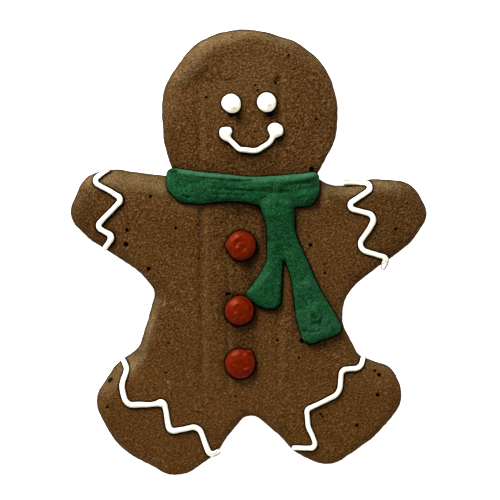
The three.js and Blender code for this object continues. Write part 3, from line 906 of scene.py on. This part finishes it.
# Lumps in a line: x, y, how far each reaches across and along, and a share of the line's width.
lines = {
    "smile_line": {
        "node": "smile",
        "corners": [
            (-6.6, 35.6), (-6.4, 33, 2.6), (-2.6, 29.2, 1.4), (2.2, 28.6, 4), (6.4, 31.3, 4), (8.6, 36.5),
        ],
        "halfWidth": 0.69, "height": 1.25, "swell": 0.05, "bendSwell": 0, "seed": 41, "stain": 0.3,
        "damp": (0.5, 0.8),
        "start": {"radius": 1.82, "height": 1.8, "squareness": 2.8, "neck": 2.6},
        "end": {"radius": 2.28, "height": 1.95, "squareness": 2.1, "neck": 2.3},
    },
    "left_hand_line": {
        "node": "icing_left_hand",
        "corners": [
            (-39.4, 23.9), (-44.7, 20.2, 1.3), (-35.7, 15.1, 1.3), (-43.4, 7.2, 1.3), (-38.6, 4.4, 1.2),
            (-41.4, 0.4),
        ],
        "halfWidth": 0.7, "height": 1.3, "swell": 0.07, "bendSwell": 0.1, "seed": 51, "stain": 0.25,
        "damp": (0.5, 0.85),
        "lumps": [(-38.9, 4.3, 1.5, 1.5, 0.2)],
    },
    "right_hand_line": {
        "node": "icing_right_hand",
        "corners": [
            (26.9, 19.7), (30.5, 19.9, 9), (37.1, 19.3, 1.3), (27.3, 12.8, 1.3), (36.8, 10.2, 2),
            (30.6, 0.9, 2.2), (39.6, -1.7, 1.3), (38.1, -5.2),
        ],
        "halfWidth": 0.71, "height": 1.25, "swell": 0.06, "bendSwell": 0.1, "seed": 54, "stain": 0.15,
        "damp": (0.5, 0.5),
        "lumps": [(38.9, -3.4, 1.3, 1.3, 0.25)],
    },
    "left_foot_line": {
        "node": "icing_left_foot",
        "corners": [
            (-36.1, -30), (-34.5, -33.3, 2.2), (-36.2, -37.9, 6), (-34.8, -43.5, 2.4), (-29, -43.6, 9),
            (-24, -42.9, 1.4), (-22.4, -51.3, 1.5), (-14.3, -49.6, 2.4), (-10.8, -58.2, 1.5), (-7.9, -56.6),
        ],
        "halfWidth": 0.76, "height": 1.2, "swell": 0.08, "bendSwell": 0.08, "seed": 57, "stain": 0.05,
        "damp": (0.5, 0.5),
        "lumps": [(-24.9, -42.9, 1.1, 1.1, 0.42), (-28, -43.5, 1.6, 1.6, -0.06)],
    },
    "right_foot_line": {
        "node": "icing_right_foot",
        "corners": [
            (33.1, -29.3), (31.9, -33.1, 2.6), (26.5, -33.6, 1.6), (26.1, -40.3, 4), (16.6, -44.9, 1.4),
            (17.1, -49.9, 6), (19.7, -56, 1.3), (12.3, -55.8),
        ],
        "halfWidth": 0.67, "height": 1.2, "swell": 0.07, "bendSwell": 0.08, "seed": 60, "stain": 0.1,
        "damp": (0.5, 0.5),
    },
}

for name, drop in drops.items():
    pipedDrop(name, drop)
for name, line in lines.items():
    pipedLine(name, line)
print("lines and drops piped")


# The scarf, one slab of green icing spread in strokes. Corners clockwise from its upper left.

scarf = {
    "corners": [
        (-23.5, 24.2, 1.9), (-15, 22.9, 30), (1.5, 21.2, 40), (12, 21.95, 30), (20.3, 22.9, 1.6),
        (20.2, 16.6, 4), (18.2, 13.3, 2.8), (13, 12.7, 0.7), (13.1, 5.5, 14), (20.6, -11.2, 12),
        (25, -18.3, 8), (27.2, -22.8, 2), (16.1, -26.8, 2.4), (13.6, -19, 30), (12.4, -8, 14),
        (9.9, -0.9, 0.4), (9.45, -9, 30), (9.1, -16.5, 2.6), (3.6, -15.9, 5), (-1.2, -12.4, 1.4),
        (2.6, -7.4, 8), (5.4, -2.4, 6), (5.3, 7, 10), (3.4, 13.2, 1.2), (-3.5, 14.8, 24), (-13.5, 13.6, 14),
        (-19.5, 14.1, 4), (-23.2, 17.8, 3),
    ],
    "height": 2.25,
    "edgeRound": 2.4,
    "sideAngles": (-42, 48, 12),  # of its side's lowest and highest ring, and how many there are
    "tuck": 0.6,  # how far the side draws in below its widest, as a share of how far it does above
    "damp": (0.35, 0.6),
    "stain": 0.3,
    "bandFoot": (13.6, 0.5),  # its neck band's lower edge, and over what length the streaks end there
    "bandBow": (2, 0.009),  # the band's middle, and how strongly it bows down to either side
    "bandWaver": (0.3, 9, 71),
    "streakHeight": 0.28,
    "streakLeft": 0.15,  # the share of it that stays on the lump
    "streaks": [(0.05, 1, 1.25, 72), (0.12, 0.7, 0.6, 73)],  # share of x; height, size and seed
    # the stroke that was spread last starts as a rounded lump, with a groove round its end
    "stroke": {
        "x": 8.2, "y": 10.4, "squash": (0.92, 0.7), "radius": 4.5, "height": 1.6, "roundness": 0.7, "tail": 5,
        "grooveRadius": 4.9, "grooveWidth": 0.5, "grooveDepth": 0.35,
    },
    "markScale": 1.5,
    "bumps": [
        (-18.3, 18.7, 0, 2.2, 1.5, -0.6), (-17.3, 15.5, -20, 0.7, 0.35, -0.7),
        (-18.4, 15.9, 0, 0.5, 0.3, -0.5), (-15.8, 14.6, -15, 2.6, 0.8, 0.4), (-9, 20.6, -5, 7, 0.35, -0.4),
        (3, 20.4, 3, 9, 0.35, -0.45), (-5, 18.3, -3, 10, 0.8, 0.25), (-2.3, 17.6, -3, 8, 0.3, -0.3),
        (-4, 16.2, -3, 6, 0.3, -0.3),
        (14.5, 19.4, 8, 4, 0.8, -0.45), (16.6, 16, 20, 3, 1.6, 0.5), (-19.8, 20.6, -60, 2.6, 0.7, -0.4),
        (-21.6, 20.5, 90, 3, 0.9, 0.3), (8.7, 13.6, 95, 1.6, 0.7, -0.3), (9.7, 1, 90, 5, 1.5, -0.45),
        (4.6, -8, 55, 3, 0.8, 0.3), (8, -10.5, 85, 4, 1.2, -0.2), (17, -9.2, 15, 2.4, 1.1, 0.5),
        (16.7, -14, 20, 2.5, 1.8, -0.35), (18.2, -16.8, 0, 1.4, 0.9, 0.35), (18.1, -18.5, 0, 0.3, 0.3, -0.3),
        (19.2, -19, 0, 0.32, 0.32, -0.35), (19.2, -20, 10, 1, 0.3, -0.3), (12.2, 1.5, 0, 0.3, 0.3, -0.5),
        (11.6, 6.6, 0, 0.25, 0.25, -0.4), (24.1, -22.5, 0, 0.25, 0.25, -0.4), (6.3, 14.2, 10, 2.4, 1.1, 0.35),
    ],
    "arcs": [(18.8, -18.5, 1.3, 0.35, 0.5, 270, 150), (18.3, -15.6, 7.3, 0.4, -0.3, 272, 26)],
    # painted highlights and paler patches, given as the cookie's patches are
    "palePatches": [
        (16.4, -9.5, 15, 2.4, 1.4, 0.08), (19.5, -20.5, -60, 6, 5, 0.05), (4.8, -7.9, 55, 2.6, 0.8, 0.08),
        (5.8, 14.3, 20, 1.8, 0.8, 0.06), (10.8, 14.3, -20, 1.6, 0.7, 0.07),
    ],
    # and painted light along the edge that faces this way, towards the lamp: how much, how steeply that
    # fades round the edge, and where
    "paleEdge": {"azimuth": 95, "strength": 0.24, "steepness": 8, "depth": 0.6, "reach": 0.7},
    "wobble": (0.09, 2.1, 77),  # height, size and seed of its edge's unevenness, then of its surface's
    "roughness": [(0.26, 3.5, 74), (0.26, 1.6, 75), (0.2, 0.8, 76)],
    "edgeStep": 0.26,
    "faceStep": (0.29, 81),  # spacing and seed of the points over the face and the underside
    "underStep": (1.2, 82),
    "faceRoom": 0.6,  # between the rings and the face's points, in spacings
    "underRoom": 0.7,
}


def scarfRelief(x, y):
    # streaks along the bowed band, fainter on the lump, then the stroke's lump and groove, marks, and
    # roughness
    stroke = scarf["stroke"]
    (bandFoot, softness), (middle, bow) = scarf["bandFoot"], scarf["bandBow"]
    onBand = 1 / (1 + np.exp(-(y - bandFoot) / softness))
    along = y - bow * (x - middle) ** 2 + unevenness(x, 0 * x, *scarf["bandWaver"])
    streaks = sum(unevenness(share * x, along, *form) for share, *form in scarf["streaks"])
    squashX, squashY = stroke["squash"]
    distance = np.hypot(squashX * (x - stroke["x"]), squashY * np.maximum(y - stroke["y"], 0))
    lump = np.clip(1 - (distance / stroke["radius"]) ** 2, 0, 1) ** stroke["roundness"]
    lump = lump * np.exp(-np.maximum(stroke["y"] - y, 0) / stroke["tail"])
    fromGroove = (distance - stroke["grooveRadius"]) / stroke["grooveWidth"]
    groove = stroke["grooveDepth"] * np.exp(-fromGroove ** 2) * onBand
    streaked = scarf["streakHeight"] * onBand * np.clip(1 - 2 * lump, scarf["streakLeft"], 1)
    relief = streaked * streaks + stroke["height"] * lump - groove
    relief = relief + scarf["markScale"] * markRelief(x, y, scarf["bumps"], scarf["arcs"])
    return relief + sum(unevenness(x, y, *form) for form in scarf["roughness"])


def makeScarf():
    # rings round the slab's edge, from a tucked-in foot over a rounded side, then the face
    edge, heading = roundedPath(scarf["corners"][::-1], scarf["edgeStep"], closed=True)
    outward = np.column_stack([np.sin(heading), -np.cos(heading)])
    field = edgeField(edge, outward, cell=0.3, margin=5)
    edge = edge + outward * unevenness(*edge.T, *scarf["wobble"])[:, None]
    addFootprint(edge, lambda x, y: -field(x, y)[..., 0], scarf["damp"], scarf["stain"])
    lifts = np.radians(np.linspace(*scarf["sideAngles"]))
    belly = icing["belly"] * scarf["height"]
    inset = scarf["edgeRound"] * (1 - np.cos(lifts)) * np.where(lifts < 0, scarf["tuck"], 1)
    rise = belly + np.where(lifts < 0, belly + icing["sunk"], scarf["height"] - belly) * np.sin(lifts)
    x = edge[:, 0] - inset[:, None] * outward[:, 0]
    y = edge[:, 1] - inset[:, None] * outward[:, 1]
    halfway = lifts[len(lifts) // 2]  # from here up the face's relief sets in
    onTop = np.clip((lifts - halfway) / (lifts[-1] - halfway), 0, 1)[:, None]
    rings = np.stack([x, y, icingBed(x, y) + rise[:, None] + onTop * scarfRelief(x, y)], -1)

    face = crumbPoints(edge, *scarf["faceStep"])
    face = face[field(*face.T)[:, 0] > inset[-1] + scarf["faceRoom"] * scarf["faceStep"][0]]
    roundShare = np.clip(1 - field(*face.T)[:, 0] / scarf["edgeRound"], 0, 1)
    slab = belly + (scarf["height"] - belly) * np.sqrt(1 - roundShare ** 2)
    face = np.column_stack([face, icingBed(*face.T) + slab + scarfRelief(*face.T)])
    under = crumbPoints(edge, *scarf["underStep"])
    under = under[field(*under.T)[:, 0] > inset[0] + scarf["underRoom"]]
    under = np.column_stack([under, icingBed(*under.T) - icing["sunk"]])
    vertices, triangles = coveredSkin(rings, face, under)

    depth, outX, outY = field(*vertices[:, :2].T).T
    # painted light on the upper edge that faces the lamp, and on the patches
    pale = scarf["paleEdge"]
    facing = leaning(outX, outY, pale["azimuth"]) ** pale["steepness"]
    thin = pale["strength"] * facing * np.exp(-((depth - pale["depth"]) / pale["reach"]) ** 2)
    thin = thin + markRelief(*vertices[:, :2].T, scarf["palePatches"])
    onFace = vertices[:, 2] > cookie["thickness"]
    addPiece("green_scarf_icing", vertices, triangles, "green_icing", "scarf", thin=thin * onFace)


makeScarf()
print("scarf spread")


# The crust, with a dark line beside the icing: painted contact shade with some moisture

def poresFrom(spots):
    # for each spot, how many radii it is from the pore that it is nearest to, and that pore's radius
    shares = np.hypot(*np.moveaxis(spots[..., None, :] - pores[:, :2], -1, 0)) / pores[:, 2]
    return shares.min(-1), pores[shares.argmin(-1), 2]


def sideForm(shoulder, rimWidth):
    # each ring's inset and height all the way round, and how far up the rim it is: a quarter circle off the
    # floor, an upright wall, and the rim's superellipse as far in as the side reaches
    bottomRound, power = cookie["bottomRound"], cookie["rimPower"]
    footRings, wallRings, rimRings = cookie["sideRings"]
    bottomTurns = np.radians(np.linspace(0, 90, footRings))[:, None] + 0 * shoulder
    wallShares = np.linspace(0, 1, wallRings)[1:, None]
    rimShares = np.linspace(0, 1, rimRings)[1:, None]
    lastTurn = np.arccos((1 - cookie["sideReach"] / rimWidth) ** (power / 2))
    inset = np.concatenate([
        bottomRound * (1 - np.sin(bottomTurns)),
        0 * wallShares * shoulder,
        rimWidth * (1 - np.cos(rimShares * lastTurn) ** (2 / power)),
    ])
    height = np.concatenate([
        bottomRound * (1 - np.cos(bottomTurns)),
        bottomRound + wallShares * (shoulder - bottomRound),
        shoulder + (cookie["thickness"] - shoulder) * np.sin(rimShares * lastTurn) ** (2 / power),
    ])
    onTop = np.concatenate([np.zeros(len(bottomTurns) + len(wallShares)), rimShares[:, 0]])[:, None]
    return inset, height, onTop


def faceSpots(edge):
    # a lattice, finer beside the icing and coarser under it, with rings of points in and round each pore
    spots = []
    for spacing, least, most, seed in cookie["faceSteps"]:
        lattice = crumbPoints(edge, spacing, seed)
        beside = besideIcing(*lattice.T)
        spots.append(lattice[(beside > least) & (beside <= most)])
    spots = np.concatenate(spots)
    spots = spots[poresFrom(spots)[0] > cookie["poreClear"]]
    ringSpots = np.concatenate([
        reach * np.column_stack([np.cos(turns), np.sin(turns)])
        for reach, count in cookie["poreRings"] for turns in [np.arange(count) * fullTurn / count + reach]
    ])
    poreSpots = (pores[:, None, :2] + ringSpots * pores[:, None, 2:]).reshape(-1, 2)
    spots = np.concatenate([spots, poreSpots])
    return spots[cookieField(*spots.T)[:, 0] > cookie["sideReach"] + cookie["faceRoom"]]


def makeCookie():
    # rings from the underside up the side and over the rim, then triangles over the face
    edge = cookieEdge + cookieOutward * unevenness(*cookieEdge.T, *cookie["wobble"])[:, None]
    outX, outY = cookieOutward.T
    shoulder, rimWidth = rimForm(outX, outY)
    inset, height, onTop = sideForm(shoulder, rimWidth)
    x, y = edge[:, 0] - inset * outX, edge[:, 1] - inset * outY
    ringPale = rimPaleness(x, y, inset, outX, outY)
    ringShare, ringPore = poresFrom(np.stack([x, y], -1))
    rimPoreDepth, facePoreDepth = cookie["poreDepth"]
    hollow = rimPoreDepth * ringPore * np.sqrt(np.clip(1 - ringShare ** 2, 0, 1))
    z = height + onTop * (crustRelief(x, y) - hollow)
    # the side is rough from its foot up to the rim
    slantX, slantY = cookie["sideSlant"]
    rough = sum(
        unevenness(x + slantX * height, y + slantY * height, *form) for form in cookie["sideRoughness"])
    outMove = rough * (1 - onTop) * np.clip(height / cookie["bottomRound"], 0, 1)
    rings = np.stack([x + outMove * outX, y + outMove * outY, z], -1)

    face = faceSpots(edge)
    field = cookieField(*face.T).T
    facePale = rimPaleness(*face.T, *field)
    faceShare, facePore = poresFrom(face)
    hollow = facePoreDepth * facePore * np.sqrt(np.clip(1 - faceShare ** 2, 0, 1))
    face = np.column_stack([face, crustHeight(*field) + crustRelief(*face.T) - hollow])
    under = crumbPoints(edge, *cookie["underStep"])
    under = under[cookieField(*under.T)[:, 0] > cookie["bottomRound"] + cookie["underRoom"]]
    under = np.column_stack([under, np.zeros(len(under))])
    vertices, triangles = coveredSkin(rings, face, under)

    # each attribute runs over the rings, the face and the underside, where it is 0
    def overAll(ofRings, ofFace):
        return np.concatenate([ofRings.ravel(), ofFace, np.zeros(len(under))])

    # a pore's painted shade fades out just past its edge, and isn't on the side; the icing's dark line,
    # painted contact shade with some moisture, fades out down the side
    darkReach, fade = cookie["poreDark"]
    inPore = [np.clip((darkReach - share) / fade, 0, 1) for share in (ringShare, faceShare)]
    inPore[0] = inPore[0] * (onTop > 0)
    stained = overAll(np.clip(1 - (shoulder - height) / icing["dripStain"], 0, 1), np.ones(len(face)))
    sideShare, sideIn = cookie["sideBrowning"]
    side = overAll(sideShare * np.exp(-(inset / sideIn) ** 2), np.zeros(len(face)))
    # painted shadows and light, with uneven browning, as a darker share and an added tint
    browning = crustBrowning(*vertices[:, :2].T)
    middleCoarseness, growth = cookie["coarseness"]
    addPiece(
        "gingerbread_crust", vertices, triangles, "gingerbread", "cookie",
        paleness=overAll(ringPale, facePale),
        pore=overAll(*inPore),
        damp=np.maximum(dampness(*vertices[:, :2].T) * stained, side),
        browned=1 + np.minimum(browning, 0),
        bleached=np.maximum(browning, 0),
        coarseness=middleCoarseness + growth * vertices[:, 1],
    )


makeCookie()
print("cookie baked")


# Floor, light and camera

def makeFloor():
    # a white sweep, lit a little from within so that it stays white round the cookie
    material = newMaterial("white_paper")
    shader = addNode(material, "BsdfPrincipled", {
        "Base Color": linear("#f4f4f2"), "Roughness": 0.9, "Emission Color": (1, 1, 1, 1),
        "Emission Strength": 1,
    })
    addNode(material, "OutputMaterial", links={"Surface": shader.outputs["BSDF"]})
    half = 4  # metres
    corners = [(-half, -half, 0), (half, -half, 0), (half, half, 0), (-half, half, 0)]
    mesh = bpy.data.meshes.new("floor")
    mesh.from_pydata(corners, [], [(0, 1, 2, 3)])
    mesh.materials.append(material)
    floor = bpy.data.objects.new("floor", mesh)
    bpy.context.scene.collection.objects.link(floor)


studio = {
    "skyOverhead": 0.35,
    "skyLow": 1.3,
    "keyPower": 15.1,
    "keyAzimuth": 121,
    "keyElevation": 36,
    "keyDistance": 0.9,  # in metres, as its size and aim are
    "keySize": 0.3,
    "keyAim": 0.01,  # height that it is aimed at
}


def makeStudio():
    # a soft white room, dim overhead and bright low down, and one large lamp from the upper left
    world = bpy.data.worlds.new("soft_studio")
    bpy.context.scene.world = world
    world.use_nodes = True
    background = world.node_tree.nodes["Background"]
    direction = addNode(world, "TexCoord").outputs["Generated"]
    upward = addNode(world, "SeparateXYZ", links={"Vector": direction}).outputs["Z"]
    strength = addNode(
        world, "MapRange", {"To Min": studio["skyLow"], "To Max": studio["skyOverhead"]}, {"Value": upward}
    ).outputs["Result"]
    world.node_tree.links.new(strength, background.inputs["Strength"])
    background.inputs["Color"].default_value = (1, 1, 1, 1)
    light = bpy.data.lights.new("key", "AREA")
    light.shape = "DISK"
    light.energy = studio["keyPower"]
    light.size = studio["keySize"]
    azimuth, elevation = np.radians(studio["keyAzimuth"]), np.radians(studio["keyElevation"])
    level, up = studio["keyDistance"] * np.cos(elevation), studio["keyDistance"] * np.sin(elevation)
    place = Vector((level * np.cos(azimuth), level * np.sin(azimuth), up))
    lamp = bpy.data.objects.new("key", light)
    lamp.location = place
    lamp.rotation_euler = (Vector((0, 0, studio["keyAim"])) - place).to_track_quat("-Z", "Y").to_euler()
    bpy.context.scene.collection.objects.link(lamp)


camera = {
    "centreX": 0.46,
    "centreY": 0.51,
    "frameWidth": 142.7,  # what the picture takes in, at the focus height
    "focusHeight": 5,
    "lens": 600,
    "sensor": 36,
}


def makeCamera():
    # straight overhead, at the height from which the lens takes in the frame's width
    data = bpy.data.cameras.new("overhead")
    data.lens = camera["lens"]
    data.sensor_width = camera["sensor"]
    height = camera["frameWidth"] * camera["lens"] / camera["sensor"] + camera["focusHeight"]
    eye = bpy.data.objects.new("overhead", data)
    eye.location = (camera["centreX"] * mm, camera["centreY"] * mm, height * mm)
    bpy.context.scene.collection.objects.link(eye)
    bpy.context.scene.camera = eye


makeFloor()
makeStudio()
makeCamera()
bpy.context.scene.view_settings.view_transform = "Standard"
print("studio lit")
